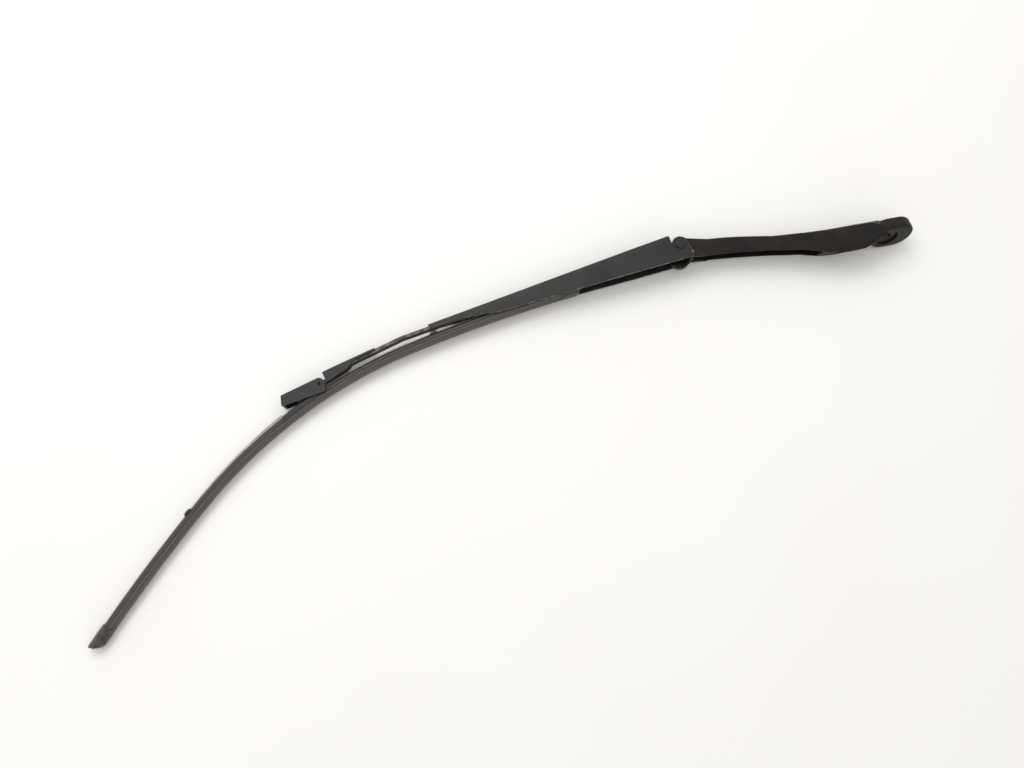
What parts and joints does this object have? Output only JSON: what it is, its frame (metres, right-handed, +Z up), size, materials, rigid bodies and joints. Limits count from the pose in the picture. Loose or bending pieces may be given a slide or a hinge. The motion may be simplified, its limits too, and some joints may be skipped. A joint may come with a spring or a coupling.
{
  "type": "windscreen wiper arm with flat blade",
  "caption": "Black car wiper arm with a cast head, sprung hinge, tapered steel channel and cranked rod, carrying a curved flat wiper blade with a clip-on adapter.",
  "frame": {"origin": "mouth of the spindle bore, at the floor of the recess in the head's underside", "axes": "XY is the wiper's plane of symmetry, +X from blade to spindle, +Y away from the glass, +Z up as it lies on its side"},
  "size_m": [0.8804, 0.4702, 0.0381],
  "materials": {
    "cast_black": "die-cast, painted satin black, worn",
    "painted_steel": "satin black paint on pressed steel",
    "plated_steel": "zinc-plated steel, dull",
    "rail_steel": "dark spring steel",
    "bush_nylon": "natural nylon",
    "moulded_black": "fine-grained moulded plastic",
    "lip_rubber": "graphite-coated wiping rubber",
    "spoiler_rubber": "matt extruded rubber"
  },
  "bodies": {
    "head": {"arm_head": "cast_black", "hinge_bush_near": "bush_nylon", "hinge_bush_far": "bush_nylon", "hook_pin": "plated_steel"},
    "arm": {"arm_channel": "painted_steel", "hinge_pin": "plated_steel", "arm_rod": "painted_steel", "rod_rivets": "plated_steel", "spring_anchor": "plated_steel", "tension_spring": "plated_steel", "adapter_body": "moulded_black", "cap_pin": "plated_steel"},
    "hook": {"spring_hook": "plated_steel"},
    "cap": {"locking_cap": "moulded_black"},
    "blade": {"connector_base": "moulded_black", "pivot_pin": "plated_steel", "rail_near": "rail_steel", "rail_far": "rail_steel", "wiper_rubber": "lip_rubber", "spoiler_tip": "spoiler_rubber", "spoiler_heel": "spoiler_rubber", "back_clip_tip": "moulded_black", "back_clip_heel": "moulded_black", "end_cap_tip": "moulded_black", "end_cap_heel": "moulded_black"}
  },
  "joints": [
    {"name": "arm_hinge", "type": "hinge", "parent": "head", "child": "arm", "pos_m": [-0.2365, -0.015, 0], "axis": [0, 0, -1], "range_deg": [0, 75], "stiffness_Nm_per_rad": 1.5, "springref_deg": -57.3, "deforming": ["tension_spring"]},
    {"name": "hook_swing", "type": "hinge", "parent": "head", "child": "hook", "pos_m": [-0.2235, -0.0225, 0], "axis": [0, 0, -1], "range_deg": [0, 67]},
    {"name": "blade_pivot", "type": "hinge", "parent": "arm", "child": "blade", "pos_m": [-0.65229, -0.18842, 0], "axis": [0, 0, -1], "range_deg": [0, 20]},
    {"name": "cap_flip", "type": "hinge", "parent": "arm", "child": "cap", "pos_m": [-0.6319, -0.1729, 0], "axis": [0, 0, -1], "range_deg": [0, 50]}
  ],
  "couplings": [
    {"joint": "hook_swing", "follows": "arm_hinge", "ratio": 0.885}
  ]
}
